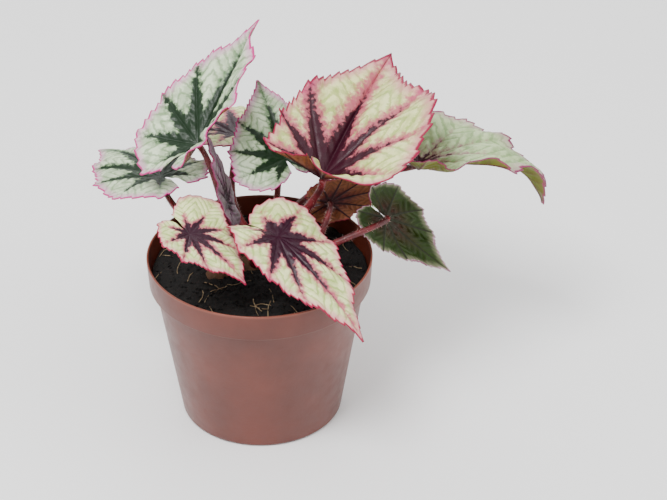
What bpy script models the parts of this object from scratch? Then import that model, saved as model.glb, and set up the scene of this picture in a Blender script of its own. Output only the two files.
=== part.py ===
"""Rex begonia in a nursery pot: a thin terracotta-coloured plastic pot, its potting soil, a branched
rhizome half sunk in the soil, and one petiole and one blade for each leaf. Metres, +Z up, origin at the
centre of the pot's underside."""

import math

import bmesh
import bpy
from mathutils import Matrix, Vector

MM = 0.001
CM = 0.01

# Driving dimensions of the pot
POT_HEIGHT = 95 * MM
RIM_RADIUS = 60 * MM  # outer radius at the very top
RIM_BAND = 15 * MM  # height of the wider band under the top edge
RIM_DRAFT = 1.0 * MM  # how much narrower the band is at its lower edge
SHOULDER = 3.0 * MM  # how far the wall steps in under the band
FOOT_RADIUS = 43 * MM
WALL = 1.1 * MM
ROUND_STEPS = 40  # facets round the pot and the soil

# Underside of the pot: a flat middle pad, a raised ring with the drain holes, and a foot ring
PAD_RADIUS = 14 * MM
FOOT_RING = 6 * MM
FLOOR_RAISE = 2.0 * MM
DRAIN_HOLES = 8
DRAIN_RADIUS = 4.0 * MM
DRAIN_CIRCLE = 26 * MM
FOOT_GAPS = 4
FOOT_GAP_WIDTH = 9 * MM

# Soil and rhizome
SOIL_LEVEL = POT_HEIGHT - 11 * MM
SOIL_CROWN = 2.5 * MM  # the soil stands this much higher in the middle
CLEARANCE = 0.3 * MM
RHIZOME_RADIUS = 6.5 * MM
RHIZOME_TOP = SOIL_LEVEL + 7 * MM
STEM = ((-29, -3), (-14, 3), (2, 4), (17, 0), (30, -6))  # the rhizome's main stem in plan, mm
BRANCH = ((-3, 0), (-1, 15), (5, 30))  # and its branch

# Blades and petioles
BLADE_THICKNESS = 0.8 * MM
BLADE_SPOKES = 20  # strips round the petiole's end, from one side of the notch to the other
BLADE_RINGS = 4
NOTCH = math.radians(9)  # half of the notch behind the petiole
PETIOLE_FOOT = 2.6 * MM  # radius where it leaves the rhizome
PETIOLE_TOP = 1.6 * MM  # radius under the blade
PETIOLE_POINTS = 9
STRAIGHT = (0, 0, 0)  # the bow of a petiole that has none

# Every leaf. base and tip are the blade's two ends in cm. The rest is in degrees: roll turns the blade about
# the line between its ends, bend is how far the midrib bends over, rise is how steeply the blade leaves the
# petiole to the left, back and right, and curl is how far it bends down again on the way to the margin.
# width, heel (the lobes behind the petiole), skew and lobe (angle, size, spread) shape the outline. root is
# where the petiole leaves the rhizome: on its stem or branch, how far along it, and to which side. bow, in
# cm, pushes the middle of the petiole aside.
LEAVES = {
    "main": dict(base=(3.5, 0.5, 13.4), tip=(8.8, 8.0, 15.9), roll=0, bend=15, rise=(48, 75, 30),
                 curl=(10, 0, 5), width=0.95, heel=0.5, skew=-0.22, lobe=(-45, 0.12, 14),
                 root=("stem", 0.715, 1)),
    "arching": dict(base=(9.3, 3.0, 12.1), tip=(16.2, 2.0, 9.7), roll=20, bend=120, rise=(28, 20, 30),
                    curl=(30, 40, -60), width=0.72, heel=0.7, skew=0.0, lobe=(0, 0, 1),
                    root=("stem", 0.83, 1),
                    bow=(0, 1.6, 0)),
    "small_drooping": dict(base=(6.6, -1.0, 11.5), tip=(9.9, -1.5, 8.1), roll=-120, bend=50,
                           rise=(10, -10, 10), curl=(20, 20, 20), width=0.62, heel=0.4, skew=-0.1,
                           lobe=(0, 0, 1), root=("stem", 0.9, -1)),
    "underside": dict(base=(4.1, 1.4, 11.3), tip=(7.75, 1.6, 11.65), roll=-100, bend=30, rise=(15, 10, 15),
                      curl=(20, 10, 20), width=0.65, heel=0.3, skew=0.0, lobe=(0, 0, 1),
                      root=("stem", 0.94, 1)),
    "front": dict(base=(0.4, -3.2, 12.5), tip=(3.8, -7.6, 8.7), roll=0, bend=25, rise=(5, -40, 5),
                  curl=(10, 20, 10), width=0.72, heel=0.5, skew=0.05, lobe=(0, 0, 1),
                  root=("stem", 0.62, -1)),
    "front_left": dict(base=(-4.1, -2.8, 13.0), tip=(-1.7, -5.2, 11.3), roll=0, bend=30, rise=(5, 0, 15),
                       curl=(10, 10, 10), width=1.1, heel=0.6, skew=0.05, lobe=(115, 0.25, 35),
                       root=("stem", 0.25, -1)),
    "middle": dict(base=(2.1, 3.6, 13.0), tip=(1.3, 6.8, 16.0), roll=0, bend=20, rise=(5, 45, 20),
                   curl=(20, 10, 20), width=1.15, heel=0.4, skew=0.1, lobe=(0, 0, 1),
                   root=("stem", 0.6, 1)),
    "tall_back": dict(base=(-2.5, 4.0, 14.2), tip=(1.5, 8.0, 18.9), roll=0, bend=10, rise=(15, 40, 60),
                      curl=(15, 10, 10), width=0.88, heel=0.7, skew=0.0, lobe=(0, 0, 1),
                      root=("stem", 0.3, 1)),
    "dusky": dict(base=(-1.6, 0.7, 12.4), tip=(-2.3, 2.5, 15.6), roll=50, bend=20, rise=(10, 10, 10),
                  curl=(15, 10, 10), width=0.7, heel=0.6, skew=0.0, lobe=(0, 0, 1),
                  root=("stem", 0.42, -1)),
    "far_left": dict(base=(-4.4, 5.4, 11.6), tip=(-6.9, 10.6, 10.4), roll=0, bend=45, rise=(15, 10, 15),
                     curl=(25, 20, 25), width=0.95, heel=0.7, skew=0.1, lobe=(0, 0, 1),
                     root=("stem", 0.1, 1)),
    "far_middle": dict(base=(0.2, 7.9, 12.2), tip=(0.4, 13.9, 10.5), roll=0, bend=45, rise=(15, 10, 15),
                       curl=(25, 20, 25), width=0.95, heel=0.7, skew=-0.1, lobe=(0, 0, 1),
                       root=("branch", 0.85, 1)),
    "far_right": dict(base=(6.2, 6.8, 11.6), tip=(10.8, 10.4, 10.0), roll=0, bend=45, rise=(15, 10, 15),
                      curl=(25, 20, 25), width=0.95, heel=0.7, skew=0.1, lobe=(0, 0, 1),
                      root=("branch", 0.9, -1)),
}

SHADES = {
    "pot": ((0.50, 0.19, 0.12), 0.45),
    "soil": ((0.02, 0.014, 0.01), 0.95),
    "rhizome": ((0.22, 0.12, 0.07), 0.8),
    "petiole": ((0.42, 0.12, 0.13), 0.5),
    "blade": ((0.62, 0.66, 0.52), 0.45),
}


def clear_scene():
    for obj in list(bpy.data.objects):
        bpy.data.objects.remove(obj)


def new_collection(name):
    group = bpy.data.collections.new(name)
    bpy.context.scene.collection.children.link(group)
    return group


def shade(name):
    """The material of that name, with its colour and roughness."""
    material = bpy.data.materials.get(name)
    if material is None:
        colour, roughness = SHADES[name]
        material = bpy.data.materials.new(name)
        material.use_nodes = True
        surface = material.node_tree.nodes["Principled BSDF"]
        surface.inputs["Base Color"].default_value = (*colour, 1)
        surface.inputs["Roughness"].default_value = roughness
        surface.inputs["Metallic"].default_value = 0
    return material


def mesh_object(name, bm, group, finish):
    mesh = bpy.data.meshes.new(name)
    bm.to_mesh(mesh)
    bm.free()
    mesh.shade_smooth()
    mesh.set_sharp_from_angle(angle=math.radians(35))
    obj = bpy.data.objects.new(name, mesh)
    group.objects.link(obj)
    if finish:
        mesh.materials.append(shade(finish))
    return obj


def turned(name, profile, group, finish):
    """A closed profile of (radius, height) turned round Z; both ends of the profile lie on the axis."""
    bm = bmesh.new()
    verts = [bm.verts.new((r, 0, z)) for r, z in profile]
    for a, b in zip(verts, verts[1:]):
        bm.edges.new((a, b))
    obj = mesh_object(name, bm, group, finish)
    screw = obj.modifiers.new("turn", "SCREW")
    screw.steps = screw.render_steps = ROUND_STEPS
    screw.use_merge_vertices = True
    screw.merge_threshold = 0.00002
    return obj


def cut(obj, cutter):
    boolean = obj.modifiers.new("cut", "BOOLEAN")
    boolean.operation = "DIFFERENCE"
    boolean.solver = "EXACT"
    boolean.object = cutter


def as_cutter(obj):
    obj.hide_render = True
    obj.display_type = "WIRE"
    return obj


def drill(name, centre, radius, length, group):
    """A round cutter along Z."""
    bm = bmesh.new()
    bmesh.ops.create_cone(bm, cap_ends=True, segments=12, radius1=radius, radius2=radius, depth=length,
                          matrix=Matrix.Translation(centre))
    return as_cutter(mesh_object(name, bm, group, None))


def inner_wall():
    """The wall's inner side from the floor up, as (radius, height); the pot and the soil share it."""
    shoulder_z = POT_HEIGHT - RIM_BAND
    body_top = RIM_RADIUS - RIM_DRAFT - SHOULDER
    return [
        (FOOT_RADIUS - WALL, FLOOR_RAISE + WALL),
        (body_top - WALL, shoulder_z),
        (RIM_RADIUS - RIM_DRAFT - WALL, shoulder_z + 1.2 * MM),
        (RIM_RADIUS - WALL, POT_HEIGHT),
    ]


def make_pot(group, cutters):
    shoulder_z = POT_HEIGHT - RIM_BAND
    body_top = RIM_RADIUS - RIM_DRAFT - SHOULDER
    outer = [
        (RIM_RADIUS, POT_HEIGHT),
        (RIM_RADIUS - RIM_DRAFT, shoulder_z),
        (body_top, shoulder_z - 0.6 * MM),
        (FOOT_RADIUS + 0.4 * MM, 1.2 * MM),
        (FOOT_RADIUS - 0.8 * MM, 0),
    ]
    under = [
        (FOOT_RADIUS - FOOT_RING, 0),
        (FOOT_RADIUS - FOOT_RING - 0.6 * MM, FLOOR_RAISE),
        (PAD_RADIUS + 0.6 * MM, FLOOR_RAISE),
        (PAD_RADIUS, 0),
        (0, 0),
    ]
    floor = [(0, FLOOR_RAISE + WALL)]
    profile = floor + inner_wall() + outer + under
    pot = turned("pot", profile, group, "pot")
    for i in range(DRAIN_HOLES):
        angle = 2 * math.pi * (i + 0.5) / DRAIN_HOLES
        centre = Vector((DRAIN_CIRCLE * math.cos(angle), DRAIN_CIRCLE * math.sin(angle), FLOOR_RAISE))
        cut(pot, drill(f"drain_cutter_{i + 1}", centre, DRAIN_RADIUS, 8 * MM, cutters))
    for i in range(FOOT_GAPS):
        angle = 2 * math.pi * i / FOOT_GAPS
        middle = FOOT_RADIUS - FOOT_RING / 2
        bm = bmesh.new()
        place = Matrix.Rotation(angle, 4, "Z") @ Matrix.Translation((middle, 0, 0))
        size = Matrix.Diagonal((FOOT_RING * 2, FOOT_GAP_WIDTH, 1.4 * MM, 1))
        bmesh.ops.create_cube(bm, size=1, matrix=place @ size)
        cut(pot, as_cutter(mesh_object(f"foot_gap_cutter_{i + 1}", bm, cutters, None)))
    return pot


def wall_radius(height):
    """Inner radius of the pot at that height."""
    points = inner_wall()
    for (r0, z0), (r1, z1) in zip(points, points[1:]):
        if z0 <= height <= z1:
            return r0 + (r1 - r0) * (height - z0) / (z1 - z0)
    return points[-1][0]


def make_soil(group, cutters):
    below = [(r - CLEARANCE, z + (CLEARANCE if i == 0 else 0)) for i, (r, z) in enumerate(inner_wall()[:3])]
    edge = wall_radius(SOIL_LEVEL) - CLEARANCE
    crown = SOIL_LEVEL + SOIL_CROWN
    top = [(edge, SOIL_LEVEL), (edge * 0.7, SOIL_LEVEL + SOIL_CROWN * 0.7), (edge * 0.35, crown)]
    profile = [(0, crown), *reversed(top), *reversed(below), (0, below[0][1])]
    soil = turned("soil", profile, group, "soil")
    cut(soil, as_cutter(rhizome_solid("rhizome_cutter", CLEARANCE, cutters, cutters, None)))
    return soil


def through(plan, share):
    """The point at that share of the way along a smooth curve through the plan points, and its direction."""
    spans = len(plan) - 1
    i = min(int(share * spans), spans - 1)
    t = share * spans - i
    p = [Vector((*plan[min(max(k, 0), spans)], 0)) * MM for k in range(i - 1, i + 3)]
    point = (p[1] * 2 + (p[2] - p[0]) * t + (p[0] * 2 - p[1] * 5 + p[2] * 4 - p[3]) * t * t
             + (p[1] * 3 - p[0] - p[2] * 3 + p[3]) * t**3) / 2
    along = (p[2] - p[0] + (p[0] * 2 - p[1] * 5 + p[2] * 4 - p[3]) * 2 * t
             + (p[1] * 3 - p[0] - p[2] * 3 + p[3]) * 3 * t * t)
    point.z = RHIZOME_TOP - RHIZOME_RADIUS
    return point, along.normalized()


def tube(name, points, radii, group, sides):
    """A POLY curve through the points, with its own radius at each."""
    curve = bpy.data.curves.new(name, "CURVE")
    curve.dimensions = "3D"
    curve.bevel_depth = 1
    curve.bevel_resolution = (sides - 4) // 2
    curve.use_fill_caps = True
    spline = curve.splines.new("POLY")
    spline.points.add(len(points) - 1)
    for place, point, radius in zip(spline.points, points, radii):
        place.co = (*point, 1)
        place.radius = radius
    obj = bpy.data.objects.new(name, curve)
    group.objects.link(obj)
    return obj


def meshed(curve, group, finish):
    """That curve as a closed mesh object; the curve itself goes."""
    bpy.context.view_layer.update()
    graph = bpy.context.evaluated_depsgraph_get()
    bm = bmesh.new()
    mesh = bpy.data.meshes.new_from_object(curve.evaluated_get(graph))
    bm.from_mesh(mesh)
    bpy.data.meshes.remove(mesh)
    bmesh.ops.remove_doubles(bm, verts=bm.verts, dist=0.01 * MM)
    name = curve.name
    bpy.data.objects.remove(curve)
    return mesh_object(name, bm, group, finish)


def stem_radius(share):
    """The rhizome's radius at that share of its length: it rounds off at both ends."""
    end = abs(2 * share - 1)
    return RHIZOME_RADIUS * math.sqrt(1 - 0.85 * end**8)


def stem_tube(name, plan, grow, group, finish):
    """One length of the rhizome."""
    steps = 12
    points = []
    radii = []
    for i in range(steps + 1):
        share = i / steps
        points.append(through(plan, share)[0])
        radii.append(stem_radius(share) + grow)
    return meshed(tube(name, points, radii, group, 12), group, finish)


def rhizome_solid(name, grow, group, cutters, finish):
    """The main stem with its branch joined on."""
    stem = stem_tube(name, STEM, grow, group, finish)
    branch = as_cutter(stem_tube(f"{name}_branch", BRANCH, grow, cutters, None))
    join = stem.modifiers.new("branch", "BOOLEAN")
    join.operation = "UNION"
    join.solver = "EXACT"
    join.object = branch
    return stem


def arc(rise, curvature, length):
    """(along, up) after that length of an arc that starts at that rise and bends down."""
    if abs(curvature) < 0.01:
        return length * math.cos(rise), length * math.sin(rise)
    end = rise - curvature * length
    return (math.sin(rise) - math.sin(end)) / curvature, (math.cos(end) - math.cos(rise)) / curvature


class Blade:
    """Places points of the flat leaf on the bent blade. The flat leaf has the petiole's end at (0, 0) and
    the tip on +x; its left side is +y."""

    def __init__(self, leaf):
        self.leaf = leaf
        self.base = Vector(leaf["base"]) * CM
        chord = Vector(leaf["tip"]) * CM - self.base
        half = math.radians(leaf["bend"]) / 2
        self.length = chord.length * half / math.sin(half)
        self.front = half
        self.forward = chord.normalized()
        level = Vector((0, 0, 1))
        up = (level - self.forward * level.dot(self.forward)).normalized()
        self.up = Matrix.Rotation(math.radians(leaf["roll"]), 3, self.forward) @ up
        self.side = self.up.cross(self.forward)

    def reach(self, angle):
        """Distance from the petiole's end to the margin at that angle from the midrib, left positive."""
        turn = math.degrees(angle)
        lobe_at, lobe_size, lobe_spread = self.leaf["lobe"]
        reach = 0.52 + 0.48 * math.exp(-abs(turn) / 23)
        reach *= 1 - (1 - self.leaf["heel"]) * max(0, (abs(turn) - 95) / 85) ** 2
        reach *= 1 + self.leaf["skew"] * math.sin(angle)
        reach += lobe_size * math.exp(-(((turn - lobe_at) / lobe_spread) ** 2))
        return self.length * reach

    def between(self, angle, front, others):
        """Blends the values for the front, left, back and right of the blade at that angle."""
        left, back, right = others
        side = left if angle > 0 else right
        pole = front if abs(angle) < math.pi / 2 else back
        return pole + (side - pole) * abs(math.sin(angle))

    def place(self, x, y):
        """The point of the blade's middle surface for flat point (x, y)."""
        angle = math.atan2(y, x)
        rise = self.between(angle, self.front, [math.radians(v) for v in self.leaf["rise"]])
        curl = self.between(angle, self.front, [math.radians(v) for v in self.leaf["curl"]])
        along, up = arc(rise, 2 * curl / self.length, math.hypot(x, y))
        outward = self.forward * math.cos(angle) + self.side * math.sin(angle)
        return self.base + outward * along + self.up * up

    def flat(self, share, turn):
        """Flat point at that share of the way to the margin; turn runs from -1 to 1 round the blade."""
        angle = turn * (math.pi - NOTCH)
        reach = self.reach(angle) * share
        return reach * math.cos(angle), reach * math.sin(angle) * self.leaf["width"]


def make_blade(name, blade, group):
    """An open sheet fanned round the petiole's end, then given its thickness."""
    bm = bmesh.new()
    bmesh.ops.create_grid(bm, x_segments=BLADE_RINGS, y_segments=BLADE_SPOKES, size=1)
    for v in bm.verts:
        v.co = blade.place(*blade.flat((v.co.x + 1) / 2, v.co.y))
    bmesh.ops.remove_doubles(bm, verts=bm.verts, dist=0.01 * MM)
    obj = mesh_object(name, bm, group, "blade")
    solid = obj.modifiers.new("thickness", "SOLIDIFY")
    solid.thickness = BLADE_THICKNESS
    solid.offset = 0
    return obj


def petiole_path(leaf, blade):
    """Points from the rhizome's surface to just under the blade."""
    run, share, lean = leaf["root"]
    root, along = through(STEM if run == "stem" else BRANCH, share)
    across = Vector((-along.y, along.x, 0))
    leave = (Vector((0, 0, 1)) + across * lean * 0.8).normalized()
    start = root + leave * (stem_radius(share) + 2 * CLEARANCE)
    down = -blade.up
    touch = 0
    for i in range(16):
        angle = 2 * math.pi * i / 16
        round_it = blade.place(PETIOLE_TOP * 1.2 * math.cos(angle), PETIOLE_TOP * 1.2 * math.sin(angle))
        touch = max(touch, (round_it - blade.base).dot(down))
    end = blade.base + down * (touch + BLADE_THICKNESS / 2 + 1.6 * CLEARANCE)
    length = (end - start).length
    bow = Vector(leaf.get("bow", STRAIGHT)) * CM
    first = start + leave * length * 0.45 + bow
    last = end + down * length * 0.25 + bow
    points = []
    for i in range(PETIOLE_POINTS):
        t = i / (PETIOLE_POINTS - 1)
        s = 1 - t
        points.append(start * s**3 + first * 3 * s * s * t + last * 3 * s * t * t + end * t**3)
    return points


def make_petiole(name, leaf, blade, group):
    points = petiole_path(leaf, blade)
    stout = 0.7 + blade.length / (20 * CM)
    radii = []
    for i in range(len(points)):
        thin = min(1, 1.4 * i / (len(points) - 1))
        radii.append(stout * (PETIOLE_FOOT + (PETIOLE_TOP - PETIOLE_FOOT) * thin))
    tube(name, points, radii, group, 6).data.materials.append(shade("petiole"))


def main():
    clear_scene()
    group = new_collection("rex_begonia")
    cutters = new_collection("cutters")
    make_pot(group, cutters)
    make_soil(group, cutters)
    rhizome_solid("rhizome", 0, group, cutters, "rhizome")
    for name, leaf in LEAVES.items():
        blade = Blade(leaf)
        make_blade(f"blade_{name}", blade, group)
        make_petiole(f"petiole_{name}", leaf, blade, group)


main()
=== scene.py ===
"""Looks of the potted rex begonia: fine leaf blades, hairy petioles, crumbly soil and a moulded pot, built
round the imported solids. Metres, +Z up."""

import math
import random

import bmesh
import bpy
from mathutils import Euler, Matrix, Vector, noise


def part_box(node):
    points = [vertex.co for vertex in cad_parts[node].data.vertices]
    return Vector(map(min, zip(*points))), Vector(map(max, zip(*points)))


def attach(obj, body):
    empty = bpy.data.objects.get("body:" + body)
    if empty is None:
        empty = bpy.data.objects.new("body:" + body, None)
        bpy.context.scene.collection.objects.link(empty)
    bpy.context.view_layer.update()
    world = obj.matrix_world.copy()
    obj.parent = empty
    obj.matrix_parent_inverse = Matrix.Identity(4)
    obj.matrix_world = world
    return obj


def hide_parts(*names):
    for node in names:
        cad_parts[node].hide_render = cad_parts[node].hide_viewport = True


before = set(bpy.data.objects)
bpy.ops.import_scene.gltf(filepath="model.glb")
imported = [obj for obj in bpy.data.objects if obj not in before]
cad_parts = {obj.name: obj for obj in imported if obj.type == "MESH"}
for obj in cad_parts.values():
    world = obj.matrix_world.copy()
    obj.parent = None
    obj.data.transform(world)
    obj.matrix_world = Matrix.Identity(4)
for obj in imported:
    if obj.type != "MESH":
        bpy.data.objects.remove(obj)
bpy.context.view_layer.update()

MM = 0.001
CM = 0.01
PLANT = "root"  # the only body

# The construction's own sizes, which the fine pieces follow
CLEARANCE = 0.3 * MM
BLADE_THICKNESS = 0.8 * MM
PETIOLE_FOOT = 2.6 * MM
PETIOLE_TOP = 1.6 * MM
PETIOLE_POINTS = 25
STRAIGHT = (0, 0, 0)
NOTCH = math.radians(9)
SOIL_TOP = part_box("soil")[1].z
SOIL_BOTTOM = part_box("soil")[0].z
POT_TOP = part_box("pot")[1].z
RIM_BAND = 15 * MM
SOIL_SHOULDER = POT_TOP - RIM_BAND  # where the pot narrows under its band
RIM_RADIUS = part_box("pot")[1].y
RHIZOME_RADIUS = 6.5 * MM
RHIZOME_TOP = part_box("rhizome")[1].z
STEM = ((-29, -3), (-14, 3), (2, 4), (17, 0), (30, -6))
BRANCH = ((-3, 0), (-1, 15), (5, 30))

# Every leaf's place and shape, as the construction has them: base and tip in centimetres, angles in degrees
LEAVES = {
    "main": dict(base=(3.5, 0.5, 13.4), tip=(8.8, 8.0, 15.9), roll=0, bend=15, rise=(48, 75, 30),
                 curl=(10, 0, 5), width=0.95, heel=0.5, skew=-0.22, lobe=(-45, 0.12, 14),
                 root=("stem", 0.715, 1)),
    "arching": dict(base=(9.3, 3.0, 12.1), tip=(16.2, 2.0, 9.7), roll=20, bend=120, rise=(28, 20, 30),
                    curl=(30, 40, -60), width=0.72, heel=0.7, skew=0.0, lobe=(0, 0, 1),
                    root=("stem", 0.83, 1),
                    bow=(0, 1.6, 0)),
    "small_drooping": dict(base=(6.6, -1.0, 11.5), tip=(9.9, -1.5, 8.1), roll=-120, bend=50,
                           rise=(10, -10, 10), curl=(20, 20, 20), width=0.62, heel=0.4, skew=-0.1,
                           lobe=(0, 0, 1), root=("stem", 0.9, -1)),
    "underside": dict(base=(4.1, 1.4, 11.3), tip=(7.75, 1.6, 11.65), roll=-100, bend=30, rise=(15, 10, 15),
                      curl=(20, 10, 20), width=0.65, heel=0.3, skew=0.0, lobe=(0, 0, 1),
                      root=("stem", 0.94, 1)),
    "front": dict(base=(0.4, -3.2, 12.5), tip=(3.8, -7.6, 8.7), roll=0, bend=25, rise=(5, -40, 5),
                  curl=(10, 20, 10), width=0.72, heel=0.5, skew=0.05, lobe=(0, 0, 1),
                  root=("stem", 0.62, -1)),
    "front_left": dict(base=(-4.1, -2.8, 13.0), tip=(-1.7, -5.2, 11.3), roll=0, bend=30, rise=(5, 0, 15),
                       curl=(10, 10, 10), width=1.1, heel=0.6, skew=0.05, lobe=(115, 0.25, 35),
                       root=("stem", 0.25, -1)),
    "middle": dict(base=(2.1, 3.6, 13.0), tip=(1.3, 6.8, 16.0), roll=0, bend=20, rise=(5, 45, 20),
                   curl=(20, 10, 20), width=1.15, heel=0.4, skew=0.1, lobe=(0, 0, 1),
                   root=("stem", 0.6, 1)),
    "tall_back": dict(base=(-2.5, 4.0, 14.2), tip=(1.5, 8.0, 18.9), roll=0, bend=10, rise=(15, 40, 60),
                      curl=(15, 10, 10), width=0.88, heel=0.7, skew=0.0, lobe=(0, 0, 1),
                      root=("stem", 0.3, 1)),
    "dusky": dict(base=(-1.6, 0.7, 12.4), tip=(-2.3, 2.5, 15.6), roll=50, bend=20, rise=(10, 10, 10),
                  curl=(15, 10, 10), width=0.7, heel=0.6, skew=0.0, lobe=(0, 0, 1),
                  root=("stem", 0.42, -1)),
    "far_left": dict(base=(-4.4, 5.4, 11.6), tip=(-6.9, 10.6, 10.4), roll=0, bend=45, rise=(15, 10, 15),
                     curl=(25, 20, 25), width=0.95, heel=0.7, skew=0.1, lobe=(0, 0, 1),
                     root=("stem", 0.1, 1)),
    "far_middle": dict(base=(0.2, 7.9, 12.2), tip=(0.4, 13.9, 10.5), roll=0, bend=45, rise=(15, 10, 15),
                       curl=(25, 20, 25), width=0.95, heel=0.7, skew=-0.1, lobe=(0, 0, 1),
                       root=("branch", 0.85, 1)),
    "far_right": dict(base=(6.2, 6.8, 11.6), tip=(10.8, 10.4, 10.0), roll=0, bend=45, rise=(15, 10, 15),
                      curl=(25, 20, 25), width=0.95, heel=0.7, skew=0.1, lobe=(0, 0, 1),
                      root=("branch", 0.9, -1)),
}

# Which finish each leaf's upper side and underside has
FINISHES = {
    "main": ("bowl", "red_brown"),
    "arching": ("silver", "olive"),
    "small_drooping": ("silver", "green"),
    # the "dusky" upper side, used here and by the dusky leaf, is leaf colour darkened with painted shade
    "underside": ("dusky", "red_brown"),
    "front": ("cream", "red_brown"),
    "front_left": ("cream", "red_brown"),
    "middle": ("dark", "olive"),
    "tall_back": ("dark", "red_brown"),
    "dusky": ("dusky", "red_brown"),
    "far_left": ("dark", "olive"),
    "far_middle": ("cream", "red_brown"),
    "far_right": ("silver", "red_brown"),
}

# Fine blades
RINGS = 40
SPOKES = 280
TIP_CROWDING = 0.45  # under 1, the spokes stand closer together towards the tip
VEINS = (0, 30, -30, 62, -62, 100, -100, 145, -145)  # main veins, in degrees from the midrib
TEETH = 46
TOOTH = 0.03  # tooth depth against the leaf's length
VEIN_LOBE = 0.06  # how far the margin points out where a main vein ends
TIP_POINT = 0.07  # how far the leaf's tip is drawn out
RIB_SPACING = 0.085  # between side veins, against the leaf's length
PUCKER = 0.8 * MM
VEIN_SINK = 0.8 * MM
RUFFLE = 1.5 * MM
CRINKLED = {"small_drooping": 1.6, "main": 1.3, "arching": 1.3}  # leaves with more relief than the rest
BULGE = 1.6 * MM
SLOW_WAVE = 2.4 * MM
SHEET = 0.55 * MM  # the visible blade's thickness

# The dark star and its halo, against the leaf's length
STAR_WIDTH = 0.085
HALO_WIDTH = 0.105
STAR_ARM = 0.64  # length of the star's arm along the midrib
ARM_LOSS = 0.0026  # by how much an arm is shorter for each degree off the midrib
UNDERSIDE_STAR = -0.02

# Petioles, pot and soil
HAIRS = 150  # on each petiole
POT_STEPS = 144
DRAIN_HOLES = 8
DRAIN_RADIUS = 4 * MM
DRAIN_CIRCLE = 26 * MM
CRUMBS = 900
FIBRES = 55
FIBRE_POINTS = 7

# Stage
LOOK_AT = Vector((0.040, 0.0, 0.092))
CAMERA_PLACE = (-0.197, -1.113, 0.825)
LENS = 137
LIGHTS_AT = Vector((0.03, 0, 0.1))
LIGHTS = (  # name, place, size and energy
    ("key", (-0.5, -0.5, 1.4), 0.6, 26),
    ("fill", (1.3, -0.7, 1.0), 1.2, 9),
    ("back", (0.3, 1.4, 1.2), 1.0, 9),
)


def tone(red, green, blue):
    """A paint-chart colour, 0 to 255 for each, as the shader's linear colour."""
    linear = [((c / 255 + 0.055) / 1.055) ** 2.4 if c > 10 else c / 3295 for c in (red, green, blue)]
    return (*linear, 1)


# ---------------------------------------------------------------- shader helpers


class Nodes:
    """Short calls for adding and joining the nodes of one tree."""

    def __init__(self, tree):
        self.tree = tree

    def add(self, kind, **settings):
        node = self.tree.nodes.new(kind)
        for key, value in settings.items():
            setattr(node, key, value)
        return node

    def join(self, source, target):
        self.tree.links.new(source, target)

    def set(self, socket, value):
        if hasattr(value, "is_output"):
            self.join(value, socket)
        else:
            socket.default_value = value

    def math(self, operation, first, second=0.0):
        node = self.add("ShaderNodeMath", operation=operation)
        self.set(node.inputs[0], first)
        self.set(node.inputs[1], second)
        return node.outputs[0]

    def noise(self, scale, detail=3.0, rough=0.55):
        place = self.add("ShaderNodeTexCoord").outputs["Object"]
        node = self.add("ShaderNodeTexNoise")
        self.join(place, node.inputs["Vector"])
        node.inputs["Scale"].default_value = scale
        node.inputs["Detail"].default_value = detail
        node.inputs["Roughness"].default_value = rough
        return node.outputs["Fac"]

    def mix(self, amount, first, second):
        node = self.add("ShaderNodeMix", data_type="RGBA")
        self.set(node.inputs["Factor"], amount)
        self.set(node.inputs["A"], first)
        self.set(node.inputs["B"], second)
        return node.outputs["Result"]

    def step(self, value, low, high):
        """0 below low, 1 above high, smooth between; low may be the larger."""
        node = self.add("ShaderNodeMapRange", interpolation_type="SMOOTHSTEP")
        self.set(node.inputs["Value"], value)
        node.inputs["From Min"].default_value = low
        node.inputs["From Max"].default_value = high
        return node.outputs["Result"]

    def attribute(self, name):
        return self.add("ShaderNodeAttribute", attribute_name=name).outputs["Fac"]

    def bump(self, height, distance, strength):
        node = self.add("ShaderNodeBump")
        node.inputs["Strength"].default_value = strength
        node.inputs["Distance"].default_value = distance
        self.join(height, node.inputs["Height"])
        return node.outputs["Normal"]


def new_material(name, roughness, **sockets):
    material = bpy.data.materials.new(name)
    material.use_nodes = True
    surface = material.node_tree.nodes["Principled BSDF"]
    surface.inputs["Roughness"].default_value = roughness
    for socket, value in sockets.items():
        surface.inputs[socket.replace("_", " ")].default_value = value
    return material, Nodes(material.node_tree), surface.inputs


def leaf_marks():
    """The masks that all blade materials share. They follow the veins and the margin: a star along the
    main veins, its halo, ribs along the side veins, the margin, a blush inside it, patches and the veins."""
    group = bpy.data.node_groups.new("leaf marks", "ShaderNodeTree")
    for name in ("Star size", "Halo size"):
        group.interface.new_socket(name, in_out="INPUT", socket_type="NodeSocketFloat")
    for name in ("Star", "Halo", "Ribs", "Margin", "Blush", "Patches", "Veins"):
        group.interface.new_socket(name, in_out="OUTPUT", socket_type="NodeSocketFloat")
    n = Nodes(group)
    given = n.add("NodeGroupInput").outputs
    out = n.add("NodeGroupOutput").inputs
    star = n.attribute("star")
    share = n.attribute("share")
    ragged = n.math("SUBTRACT", n.noise(330, 4, 0.65), 0.5)
    edge = n.math("ADD", star, n.math("MULTIPLY", ragged, 0.11))
    n.join(n.step(n.math("SUBTRACT", edge, given["Star size"]), 0.012, -0.012), out["Star"])
    fringe = n.math("ADD", n.attribute("halo"), n.math("MULTIPLY", ragged, 0.16))
    n.join(n.step(n.math("SUBTRACT", fringe, given["Halo size"]), 0.03, -0.03), out["Halo"])
    wave = n.math("COSINE", n.math("MULTIPLY", n.math("ADD", n.attribute("ribs"), ragged), 2 * math.pi))
    n.join(n.step(wave, 0.1, 0.95), out["Ribs"])
    rough_share = n.math("ADD", share, n.math("MULTIPLY", ragged, 0.05))
    n.join(n.step(rough_share, 0.962, 0.985), out["Margin"])
    n.join(n.step(rough_share, 0.83, 0.985), out["Blush"])
    n.join(n.step(n.noise(150, 3), 0.42, 0.62), out["Patches"])
    n.join(n.step(n.attribute("vein"), 0.014, 0.004), out["Veins"])
    return group


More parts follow.
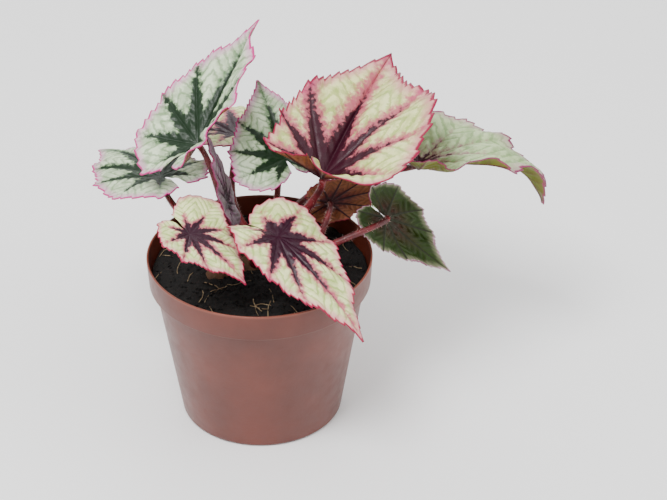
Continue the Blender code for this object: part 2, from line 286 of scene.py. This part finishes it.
def top_finish(name, marks, pale, green, star, halo, blush, margin, star_size, halo_size):
    """A blade's upper side: puckered pale ground, green along the side veins, a dark star and a red edge."""
    material, n, surface = new_material(name, 0.42, Specular_IOR_Level=0.3)
    masks = n.add("ShaderNodeGroup", node_tree=marks)
    masks.inputs["Star size"].default_value = star_size
    masks.inputs["Halo size"].default_value = halo_size
    mask = masks.outputs
    ground = n.mix(n.math("MULTIPLY", mask["Patches"], 0.45), tone(*pale), tone(*green))
    ground = n.mix(n.math("MULTIPLY", mask["Ribs"], 0.6), ground, tone(*green))
    ground = n.mix(n.math("MULTIPLY", mask["Blush"], 0.7), ground, tone(*blush))
    ground = n.mix(n.math("MULTIPLY", mask["Halo"], 0.85), ground, tone(*halo))
    ground = n.mix(mask["Star"], ground, tone(*star))
    n.join(n.mix(mask["Margin"], ground, tone(*margin)), surface["Base Color"])
    cells = n.noise(1500, 2)
    n.join(n.step(cells, -0.6, 1.9), surface["Roughness"])
    n.join(n.bump(cells, 0.25 * MM, 0.5), surface["Normal"])
    return material


def under_finish(name, marks, inner, outer, vein, margin, rim):
    """A blade's underside: matter, darker towards the petiole, with raised dark veins."""
    material, n, surface = new_material(name, 0.55, Specular_IOR_Level=0.3)
    masks = n.add("ShaderNodeGroup", node_tree=marks)
    masks.inputs["Star size"].default_value = UNDERSIDE_STAR
    mask = masks.outputs
    ground = n.mix(n.step(n.attribute("share"), 0.15, 0.8), tone(*inner), tone(*outer))
    ground = n.mix(n.math("MULTIPLY", mask["Ribs"], 0.35), ground, tone(*vein))
    ground = n.mix(n.math("MULTIPLY", mask["Star"], 0.7), ground, tone(*vein))
    ground = n.mix(n.math("MULTIPLY", mask["Blush"], 0.6), ground, tone(*rim))
    ground = n.mix(mask["Veins"], ground, tone(*vein))
    n.join(n.mix(mask["Margin"], ground, tone(*margin)), surface["Base Color"])
    n.join(n.bump(n.noise(1200, 2), 0.2 * MM, 0.5), surface["Normal"])
    return material


def speckled_finish(name, base, fleck, scale, amount, roughness, bump):
    """One colour broken by flecks of another, with a fine uneven surface."""
    material, n, surface = new_material(name, roughness)
    flecks = n.step(n.noise(scale, 4, 0.7), 0.62 - amount, 0.72 - amount)
    shade = n.mix(n.step(n.noise(scale * 0.2), 0.35, 0.7), tone(*base), tone(*(c * 0.6 for c in base)))
    n.join(n.mix(flecks, shade, tone(*fleck)), surface["Base Color"])
    n.join(n.bump(n.noise(scale * 1.6, 5, 0.7), bump, 0.8), surface["Normal"])
    return material


def pot_finish():
    """Satin terracotta-brown moulded plastic: faint mottling, light scuffs and a paler rim edge that is a
    painted highlight.
    """
    material, n, surface = new_material("pot plastic", 0.42)
    base = n.mix(n.step(n.noise(25, 4), 0.3, 0.7), tone(100, 42, 28), tone(84, 34, 22))
    scuffs = n.step(n.noise(420, 6, 0.75), 0.66, 0.8)
    height = n.add("ShaderNodeSeparateXYZ")
    n.join(n.add("ShaderNodeTexCoord").outputs["Object"], height.inputs[0])
    # painted highlight: the top 1.6 mm of the pot is painted paler, as where light catches the lip
    high = n.step(height.outputs["Z"], POT_TOP - 1.6 * MM, POT_TOP - 0.4 * MM)
    base = n.mix(n.math("MULTIPLY", high, 0.5), base, tone(140, 74, 56))
    n.join(n.mix(n.math("MULTIPLY", scuffs, 0.35), base, tone(160, 104, 86)), surface["Base Color"])
    n.join(n.math("ADD", n.math("MULTIPLY", n.noise(160, 4), 0.28), 0.26), surface["Roughness"])
    n.join(n.bump(n.noise(700, 3), 0.08 * MM, 0.5), surface["Normal"])
    return material


# ---------------------------------------------------------------- mesh helpers


def add_object(name, data):
    obj = bpy.data.objects.new(name, data)
    bpy.context.scene.collection.objects.link(obj)
    return obj


def as_mesh(name, bm):
    mesh = bpy.data.meshes.new(name)
    bm.to_mesh(mesh)
    bm.free()
    return mesh


def place_piece(name, bm, materials, replaced=None, smooth=True):
    """Makes the object, smooths it, and lets it ride on the plant."""
    mesh = as_mesh(name, bm)
    for material in materials:
        mesh.materials.append(material)
    if smooth:
        mesh.shade_smooth()
    piece = add_object(name, mesh)
    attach(piece, PLANT)
    if replaced:
        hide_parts(replaced)
    return piece


def baked(obj):
    """The object's evaluated mesh as a bmesh; the object itself goes."""
    bpy.context.view_layer.update()
    graph = bpy.context.evaluated_depsgraph_get()
    bm = bmesh.new()
    mesh = bpy.data.meshes.new_from_object(obj.evaluated_get(graph))
    bm.from_mesh(mesh)
    bpy.data.meshes.remove(mesh)
    bpy.data.objects.remove(obj)
    return bm


def tube(points, radii, sides_resolution):
    """A closed tube along the points, as a bmesh."""
    curve = bpy.data.curves.new("tube", "CURVE")
    curve.dimensions = "3D"
    curve.bevel_depth = 1
    curve.bevel_resolution = sides_resolution
    curve.use_fill_caps = True
    spline = curve.splines.new("POLY")
    spline.points.add(len(points) - 1)
    for place, point, radius in zip(spline.points, points, radii):
        place.co = (*point, 1)
        place.radius = radius
    bm = baked(add_object("tube", curve))
    bmesh.ops.remove_doubles(bm, verts=bm.verts, dist=0.002 * MM)
    bmesh.ops.recalc_face_normals(bm, faces=bm.faces)
    return bm


def through(plan, share):
    """The point at that share of the way along a smooth curve through the plan points, and its direction."""
    spans = len(plan) - 1
    i = min(int(share * spans), spans - 1)
    t = share * spans - i
    p = [Vector((*plan[min(max(k, 0), spans)], 0)) * MM for k in range(i - 1, i + 3)]
    point = (p[1] * 2 + (p[2] - p[0]) * t + (p[0] * 2 - p[1] * 5 + p[2] * 4 - p[3]) * t * t
             + (p[1] * 3 - p[0] - p[2] * 3 + p[3]) * t**3) / 2
    along = (p[2] - p[0] + (p[0] * 2 - p[1] * 5 + p[2] * 4 - p[3]) * 2 * t
             + (p[1] * 3 - p[0] - p[2] * 3 + p[3]) * 3 * t * t)
    point.z = RHIZOME_TOP - RHIZOME_RADIUS
    return point, along.normalized()


def stem_radius(share):
    """The rhizome's radius at that share of its length: it rounds off at both ends."""
    end = abs(2 * share - 1)
    return RHIZOME_RADIUS * math.sqrt(1 - 0.85 * end**8)


def arc(rise, curvature, length):
    """(along, up) after that length of an arc that starts at that rise and bends down."""
    if abs(curvature) < 0.01:
        return length * math.cos(rise), length * math.sin(rise)
    end = rise - curvature * length
    return (math.sin(rise) - math.sin(end)) / curvature, (math.cos(end) - math.cos(rise)) / curvature


class Blade:
    """Places points of the flat leaf on the bent blade. The flat leaf has the petiole's end at (0, 0) and
    the tip on +x; its left side is +y."""

    def __init__(self, leaf):
        self.leaf = leaf
        self.base = Vector(leaf["base"]) * CM
        chord = Vector(leaf["tip"]) * CM - self.base
        half = math.radians(leaf["bend"]) / 2
        self.length = chord.length * half / math.sin(half)
        self.front = half
        self.forward = chord.normalized()
        level = Vector((0, 0, 1))
        up = (level - self.forward * level.dot(self.forward)).normalized()
        self.up = Matrix.Rotation(math.radians(leaf["roll"]), 3, self.forward) @ up
        self.side = self.up.cross(self.forward)

    def reach(self, angle):
        """Distance from the petiole's end to the margin at that angle from the midrib, left positive."""
        turn = math.degrees(angle)
        lobe_at, lobe_size, lobe_spread = self.leaf["lobe"]
        reach = 0.52 + 0.48 * math.exp(-abs(turn) / 23)
        reach *= 1 - (1 - self.leaf["heel"]) * max(0, (abs(turn) - 95) / 85) ** 2
        reach *= 1 + self.leaf["skew"] * math.sin(angle)
        reach += lobe_size * math.exp(-(((turn - lobe_at) / lobe_spread) ** 2))
        return self.length * reach

    def between(self, angle, front, others):
        """Blends the values for the front, left, back and right of the blade at that angle."""
        left, back, right = others
        side = left if angle > 0 else right
        pole = front if abs(angle) < math.pi / 2 else back
        return pole + (side - pole) * abs(math.sin(angle))

    def place(self, x, y):
        """The point of the blade's middle surface for flat point (x, y)."""
        angle = math.atan2(y, x)
        rise = self.between(angle, self.front, [math.radians(v) for v in self.leaf["rise"]])
        curl = self.between(angle, self.front, [math.radians(v) for v in self.leaf["curl"]])
        along, up = arc(rise, 2 * curl / self.length, math.hypot(x, y))
        outward = self.forward * math.cos(angle) + self.side * math.sin(angle)
        return self.base + outward * along + self.up * up


# ---------------------------------------------------------------- blades


def nearest_vein(angle):
    """The main vein nearest that angle: how far off it is in radians, and its own angle."""
    offsets = [(abs(angle - math.radians(v)), abs(v)) for v in VEINS]
    return min(offsets)


def fine_flat(blade, share, turn):
    """Flat point and its vein measures for a place on the toothed leaf."""
    angle = (math.pi - NOTCH) * (TIP_CROWDING * turn + (1 - TIP_CROWDING) * turn**3)
    off, vein = nearest_vein(angle)
    saw = (turn * TEETH / 2) % 1
    tooth = TOOTH * ((1 - saw) if angle > 0 else saw) - TOOTH / 2
    reach = blade.reach(angle)
    if vein:
        point_out = VEIN_LOBE * math.exp(-((math.degrees(off) / 6) ** 2))
    else:
        point_out = TIP_POINT * math.exp(-math.degrees(off) / 4)
    margin = reach * (1 + point_out - VEIN_LOBE / 3) + tooth * blade.length
    distance = margin * share if share > 0.9 else reach * share + (margin - reach) * share**6
    away = distance * math.sin(min(off, math.pi / 2)) / blade.length
    along = distance * math.cos(off) / blade.length
    arm = STAR_ARM - ARM_LOSS * vein
    fringe = 0.98 if vein == 0 else arm * 1.25
    measures = {
        "share": share,
        "vein": away,
        "star": away - STAR_WIDTH * (1 - along / arm),
        "halo": away - HALO_WIDTH * (1 - along / fringe),
        "ribs": (along - 0.85 * away) / RIB_SPACING,
    }
    width = blade.leaf["width"]
    return distance * math.cos(angle), distance * math.sin(angle) * width, measures


def relief(measures, share, turn, phase, point, strength, length):
    """How far the blade's surface stands up: puckers and bulges between the veins, a wavy margin."""
    between = min(1, measures["vein"] / 0.05)
    bulge = BULGE * min(1, measures["vein"] / 0.13) ** 1.5 * math.sin(math.pi * min(1, share * 0.95))
    slow = SLOW_WAVE * share**2 * noise.noise(point * 45 + Vector((phase, 0, 0)))
    inside = min(1, share / 0.25)
    ridge = 0.5 - 0.5 * math.cos(2 * math.pi * measures["ribs"])
    pucker = PUCKER * between * inside * (1 - share**6) * ridge
    sink = VEIN_SINK * math.exp(-((measures["vein"] / 0.012) ** 2)) * inside
    wave = RUFFLE * share**4 * (math.sin(23 * turn + phase) + 0.6 * math.sin(41 * turn + 2 * phase))
    sink *= min(1, length / (10 * CM)) * min(1, (1 - share) * 6)
    return strength * (pucker + bulge + slow + wave * min(1, (1 - abs(turn)) * 8)) - sink


def make_blade(name, leaf, finishes):
    """A toothed, puckered leaf with its vein measures stored for the materials; gives back its Blade."""
    blade = Blade(leaf)
    bm = bmesh.new()
    layers = {key: bm.verts.layers.float.new(key) for key in ("share", "vein", "star", "halo", "ribs")}
    bmesh.ops.create_grid(bm, x_segments=RINGS, y_segments=SPOKES, size=1)
    heights = {}
    phase = 1.7 * len(name)
    strength = CRINKLED.get(name, 1) * min(1, blade.length / (8 * CM))
    for v in bm.verts:
        share, turn = (v.co.x + 1) / 2, v.co.y
        x, y, measures = fine_flat(blade, share, turn)
        v.co = blade.place(x, y)
        heights[v] = relief(measures, share, turn, phase, v.co, strength, blade.length)
        for key, layer in layers.items():
            v[layer] = measures[key]
    bm.normal_update()
    facing = sum((f.normal * f.calc_area() for f in bm.faces), Vector()).dot(blade.up)
    if facing < 0:
        bmesh.ops.reverse_faces(bm, faces=bm.faces)
        bm.normal_update()
    moves = {v: v.normal * h for v, h in heights.items()}
    for v, move in moves.items():
        v.co += move
    bmesh.ops.remove_doubles(bm, verts=bm.verts, dist=0.01 * MM)
    sides = [TOPS[finishes[0]], UNDERS[finishes[1]]]
    piece = place_piece(f"leaf_{name}", bm, sides, f"blade_{name}")
    solid = piece.modifiers.new("thickness", "SOLIDIFY")
    solid.thickness = SHEET
    solid.offset = 0
    solid.material_offset = 1
    return blade


# ---------------------------------------------------------------- petioles


def petiole_path(leaf, blade):
    """Points from the rhizome's surface to just under the blade."""
    run, share, lean = leaf["root"]
    root, along = through(STEM if run == "stem" else BRANCH, share)
    across = Vector((-along.y, along.x, 0))
    leave = (Vector((0, 0, 1)) + across * lean * 0.8).normalized()
    start = root + leave * (stem_radius(share) + 2 * CLEARANCE)
    down = -blade.up
    touch = 0
    for i in range(16):
        angle = 2 * math.pi * i / 16
        round_it = blade.place(PETIOLE_TOP * 1.2 * math.cos(angle), PETIOLE_TOP * 1.2 * math.sin(angle))
        touch = max(touch, (round_it - blade.base).dot(down))
    end = blade.base + down * (touch + BLADE_THICKNESS / 2 + 1.6 * CLEARANCE)
    length = (end - start).length
    bow = Vector(leaf.get("bow", STRAIGHT)) * CM
    first = start + leave * length * 0.45 + bow
    last = end + down * length * 0.25 + bow
    points = []
    for i in range(PETIOLE_POINTS):
        t = i / (PETIOLE_POINTS - 1)
        s = 1 - t
        points.append(start * s**3 + first * 3 * s * s * t + last * 3 * s * t * t + end * t**3)
    return points


def make_petiole(name, leaf, blade, rng):
    """A fleshy stalk, stouter at its foot, with a coat of fine hairs."""
    points = petiole_path(leaf, blade)
    points[0] -= (points[1] - points[0]).normalized() * 1.5 * MM  # the foot goes into the rhizome
    points.append(blade.base - blade.up * 0.4 * MM)
    stout = 0.7 + blade.length / (20 * CM)
    radii = []
    for i in range(len(points)):
        t = i / (len(points) - 1)
        flare = 0.5 * MM * (math.exp(-t * 18) + math.exp(-(1 - t) * 25))
        radii.append(stout * (PETIOLE_FOOT + (PETIOLE_TOP - PETIOLE_FOOT) * min(1, 1.4 * t)) * 0.97 + flare)
    radii[-1] = 0.5 * MM
    bm = tube(points, radii, 4)
    place_piece(f"stalk_{name}", bm, [PETIOLE], f"petiole_{name}")
    hairs = bmesh.new()
    for _ in range(HAIRS):
        i = rng.randrange(1, len(points) - 3)
        run = (points[i + 1] - points[i]).normalized()
        side = run.orthogonal().normalized()
        side.rotate(Matrix.Rotation(rng.uniform(0, 2 * math.pi), 3, run))
        direction = (side + run * rng.uniform(-0.3, 0.5)).normalized()
        length = rng.uniform(0.8, 1.7) * MM
        middle = points[i].lerp(points[i + 1], rng.random()) + side * radii[i] * 0.9 + direction * length / 2
        place = Matrix.Translation(middle) @ direction.to_track_quat("Z", "Y").to_matrix().to_4x4()
        bmesh.ops.create_cone(hairs, cap_ends=True, segments=3, radius1=0.09 * MM, radius2=0.02 * MM,
                              depth=length, matrix=place)
    place_piece(f"hairs_{name}", hairs, [HAIR], smooth=False)


# ---------------------------------------------------------------- pot, soil and rhizome


def spun(profile, steps):
    """A closed profile of (radius, height) from axis to axis, turned round Z."""
    bm = bmesh.new()
    verts = [bm.verts.new((r, 0, z)) for r, z in profile]
    edges = [bm.edges.new(pair) for pair in zip(verts, verts[1:])]
    bmesh.ops.spin(bm, geom=verts + edges, cent=(0, 0, 0), axis=(0, 0, 1), angle=2 * math.pi, steps=steps,
                   use_merge=True)
    bmesh.ops.remove_doubles(bm, verts=bm.verts, dist=0.005 * MM)
    bmesh.ops.recalc_face_normals(bm, faces=bm.faces)
    return bm


def rounded(points, radius, steps=4):
    """The profile with each inner corner rounded by a short arc of about that radius."""
    result = [points[0]]
    for before, corner, after in zip(points, points[1:], points[2:]):
        a, b, c = Vector(before), Vector(corner), Vector(after)
        cut = min(radius, (a - b).length * 0.45, (c - b).length * 0.45)
        start, end = b + (a - b).normalized() * cut, b + (c - b).normalized() * cut
        for i in range(steps + 1):
            t = i / steps
            p = start * (1 - t) ** 2 + b * 2 * t * (1 - t) + end * t * t
            result.append((p.x, p.y))
    return result + [points[-1]]


def make_pot():
    """The pot as one turned profile with softened corners, its drain holes cut."""
    wall, foot, floor = 1.1 * MM, 43 * MM, 3.1 * MM
    raised, pad, ring = 2 * MM, 14 * MM, 6 * MM
    shoulder = POT_TOP - RIM_BAND
    body = RIM_RADIUS - 4 * MM
    lip = RIM_RADIUS - 1 * MM
    points = [
        (0, floor), (foot - wall, floor), (body - wall, shoulder), (lip - wall, shoulder + 1.2 * MM),
        (RIM_RADIUS - wall, POT_TOP), (RIM_RADIUS, POT_TOP), (lip, shoulder), (body, shoulder - 0.6 * MM),
        (foot + 0.4 * MM, 1.2 * MM), (foot - 0.8 * MM, 0), (foot - ring, 0), (foot - ring - 0.6 * MM, raised),
        (pad + 0.6 * MM, raised), (pad, 0), (0, 0),
    ]
    bm = spun(rounded(points, 0.5 * MM), POT_STEPS)
    pot = add_object("pot_blank", as_mesh("pot", bm))
    drill = bmesh.new()
    for i in range(DRAIN_HOLES):
        angle = 2 * math.pi * (i + 0.5) / DRAIN_HOLES
        place = Matrix.Translation((DRAIN_CIRCLE * math.cos(angle), DRAIN_CIRCLE * math.sin(angle), raised))
        bmesh.ops.create_cone(drill, cap_ends=True, segments=32, radius1=DRAIN_RADIUS, radius2=DRAIN_RADIUS,
                              depth=8 * MM, matrix=place)
    cutter = add_object("drain", as_mesh("drain", drill))
    holes = pot.modifiers.new("drain", "BOOLEAN")
    holes.object = cutter
    bm = baked(pot)
    bpy.data.objects.remove(cutter)
    piece = place_piece("nursery_pot", bm, [pot_finish()], "pot")
    piece.data.set_sharp_from_angle(angle=math.radians(40))


def soil_height(x, y, edge):
    """The soil's surface: a low mound with lumps and crumbs."""
    r = math.hypot(x, y)
    mound = SOIL_TOP - 2.5 * MM * (r / edge) ** 2
    lumps = noise.noise(Vector((x, y, 0)) * 120) * 1.3 * MM + noise.noise(Vector((x, y, 3)) * 330) * 0.8 * MM
    return mound + lumps + noise.noise(Vector((x, y, 7)) * 900) * 0.45 * MM


def make_soil(rng):
    """The soil down to the pot's floor, with crumbs and pale fibres on it."""
    edge = RIM_RADIUS - 2.8 * MM
    bm = bmesh.new()
    bmesh.ops.create_grid(bm, x_segments=90, y_segments=240, size=1)
    for v in bm.verts:
        r, a = (v.co.x + 1) / 2 * edge, v.co.y * math.pi
        x, y = r * math.cos(a), r * math.sin(a)
        v.co = (x, y, soil_height(x, y, edge))
    bmesh.ops.remove_doubles(bm, verts=bm.verts, dist=0.02 * MM)
    rim = [e for e in bm.edges if e.is_boundary]
    for radius, height in ((edge, SOIL_SHOULDER + 1 * MM), (edge - 2.8 * MM, SOIL_SHOULDER - 0.6 * MM),
                           (41 * MM, SOIL_BOTTOM + 0.3 * MM)):
        ring = bmesh.ops.extrude_edge_only(bm, edges=rim)["geom"]
        rim = [g for g in ring if isinstance(g, bmesh.types.BMEdge) and g.is_boundary]
        for v in (g for g in ring if isinstance(g, bmesh.types.BMVert)):
            flat = Vector((v.co.x, v.co.y, 0)).normalized() * radius
            v.co = (flat.x, flat.y, height)
    bmesh.ops.holes_fill(bm, edges=[e for e in bm.edges if e.is_boundary])
    bmesh.ops.recalc_face_normals(bm, faces=bm.faces)
    place_piece("potting_soil", bm, [SOIL], "soil")
    crumbs = bmesh.new()
    for _ in range(CRUMBS):
        r, a = edge * math.sqrt(rng.random()) * 0.97, rng.uniform(0, 2 * math.pi)
        x, y = r * math.cos(a), r * math.sin(a)
        size = rng.uniform(0.35, 1.3) * MM
        turn = Euler([rng.uniform(0, 6.28) for _ in range(3)]).to_matrix().to_4x4()
        squash = Matrix.Diagonal((1, rng.uniform(0.5, 1), rng.uniform(0.4, 0.9), 1))
        place = Matrix.Translation((x, y, soil_height(x, y, edge) + size * 0.3)) @ turn @ squash
        bmesh.ops.create_icosphere(crumbs, subdivisions=1, radius=size, matrix=place)
    place_piece("soil_crumbs", crumbs, [SOIL], smooth=False)
    fibres = bmesh.new()
    for _ in range(FIBRES):
        r, a = edge * math.sqrt(rng.random()) * 0.93, rng.uniform(0, 2 * math.pi)
        point = Vector((r * math.cos(a), r * math.sin(a), 0))
        heading = rng.uniform(0, 2 * math.pi)
        bend = rng.uniform(-0.22, 0.22)
        points = []
        for _ in range(FIBRE_POINTS):
            if point.length < edge - 1 * MM:
                points.append(Vector((point.x, point.y, soil_height(point.x, point.y, edge) + 0.5 * MM)))
            point += Vector((math.cos(heading), math.sin(heading), 0)) * rng.uniform(1.2, 2.6) * MM
            heading += bend
        if len(points) > 2:
            strand = tube(points, [rng.uniform(0.12, 0.3) * MM] * len(points), 0)
            mesh = as_mesh("strand", strand)
            fibres.from_mesh(mesh)
            bpy.data.meshes.remove(mesh)
    place_piece("soil_fibres", fibres, [STRAW], smooth=False)


def make_rhizome():
    """The solid's own shape, made finer and knobbly."""
    bm = bmesh.new()
    bm.from_mesh(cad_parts["rhizome"].data)
    bmesh.ops.remove_doubles(bm, verts=bm.verts, dist=0.01 * MM)
    bmesh.ops.subdivide_edges(bm, edges=bm.edges, cuts=2, use_grid_fill=True, smooth=0.4)
    bm.normal_update()
    for v in bm.verts:
        v.co += v.normal * (noise.noise(v.co * 350) * 0.5 * MM - 0.2 * MM)
    place_piece("creeping_stem", bm, [BARK], "rhizome")


# ---------------------------------------------------------------- stage


def make_stage():
    """A pale floor, soft lights, a pale world and the camera."""
    floor_bm = bmesh.new()
    bmesh.ops.create_grid(floor_bm, x_segments=1, y_segments=1, size=4)
    mesh = as_mesh("floor", floor_bm)
    material, _, surface = new_material("pale floor", 0.6)
    surface["Base Color"].default_value = tone(250, 250, 250)
    mesh.materials.append(material)
    add_object("floor", mesh)
    world = bpy.data.worlds.new("studio")
    bpy.context.scene.world = world
    world.use_nodes = True
    world.node_tree.nodes["Background"].inputs["Color"].default_value = (1, 1, 1, 1)
    world.node_tree.nodes["Background"].inputs["Strength"].default_value = 1.0
    for name, place, size, energy in LIGHTS:
        light = bpy.data.lights.new(name, "AREA")
        light.energy = energy
        light.size = size
        lamp = add_object(name, light)
        lamp.location = place
        lamp.rotation_euler = (LIGHTS_AT - lamp.location).to_track_quat("-Z", "Y").to_euler()
    camera = add_object("camera", bpy.data.cameras.new("camera"))
    camera.location = CAMERA_PLACE
    camera.rotation_euler = (LOOK_AT - camera.location).to_track_quat("-Z", "Y").to_euler()
    camera.data.lens = LENS
    bpy.context.scene.camera = camera


# ---------------------------------------------------------------- the object

MARKS = leaf_marks()
TOPS = {
    "bowl": top_finish("leaf cream and lilac", MARKS, pale=(224, 226, 158), green=(138, 162, 70),
                       star=(50, 4, 24), halo=(176, 44, 100), blush=(206, 96, 138), margin=(140, 8, 56),
                       star_size=0.006, halo_size=0.026),
    "cream": top_finish("leaf cream", MARKS, pale=(226, 230, 166), green=(134, 164, 70), star=(42, 4, 26),
                        halo=(178, 30, 100), blush=(222, 118, 156), margin=(156, 8, 60),
                        star_size=0.002, halo_size=0.008),
    "silver": top_finish("leaf silver", MARKS, pale=(180, 198, 150), green=(108, 138, 84), star=(60, 20, 34),
                         halo=(148, 96, 112), blush=(174, 144, 148), margin=(130, 50, 86),
                         star_size=-0.05, halo_size=-0.05),
    "dark": top_finish("leaf dark-centred", MARKS, pale=(206, 222, 188), green=(96, 128, 80),
                       star=(20, 42, 20), halo=(78, 112, 70), blush=(214, 142, 190), margin=(190, 46, 124),
                       star_size=0.02, halo_size=0.01),
    # painted shade: this finish keeps the leaf's own star, halo, blush and margin pattern, but darkens all of
    # its colours to grey-violet as if the leaf were in shadow
    "dusky": top_finish("leaf darkened by painted shade", MARKS, pale=(116, 98, 108), green=(72, 74, 62), star=(40, 14, 28),
                        halo=(96, 48, 78), blush=(136, 84, 112), margin=(118, 32, 72),
                        star_size=0.0, halo_size=0.0),
}
UNDERS = {
    "red_brown": under_finish("underside red-brown", MARKS, inner=(84, 18, 22), outer=(134, 80, 50),
                              vein=(42, 2, 12), margin=(150, 16, 54), rim=(150, 82, 70)),
    "green": under_finish("underside green", MARKS, inner=(56, 16, 8), outer=(36, 56, 2),
                          vein=(28, 32, 6), margin=(176, 140, 152), rim=(140, 140, 112)),
    "olive": under_finish("underside olive", MARKS, inner=(106, 46, 20), outer=(98, 106, 20),
                          vein=(84, 20, 24), margin=(150, 64, 90), rim=(122, 116, 56)),
}
PETIOLE = speckled_finish("petiole red", (122, 28, 36), (204, 140, 126), 700, 0.0, 0.4, 0.3 * MM)
HAIR = speckled_finish("hairs", (214, 170, 160), (232, 210, 200), 900, 0.1, 0.6, 0.05 * MM)
SOIL = speckled_finish("potting soil", (15, 11, 9), (60, 46, 34), 900, -0.03, 0.95, 0.8 * MM)
STRAW = speckled_finish("straw and roots", (150, 128, 96), (196, 178, 144), 600, 0.05, 0.8, 0.1 * MM)
BARK = speckled_finish("rhizome", (112, 76, 52), (160, 120, 86), 260, 0.02, 0.8, 0.8 * MM)

rng = random.Random(11)
make_pot()
make_soil(rng)
make_rhizome()
for leaf_name, leaf_shape in LEAVES.items():
    fine_blade = make_blade(leaf_name, leaf_shape, FINISHES[leaf_name])
    make_petiole(leaf_name, leaf_shape, fine_blade, rng)
make_stage()
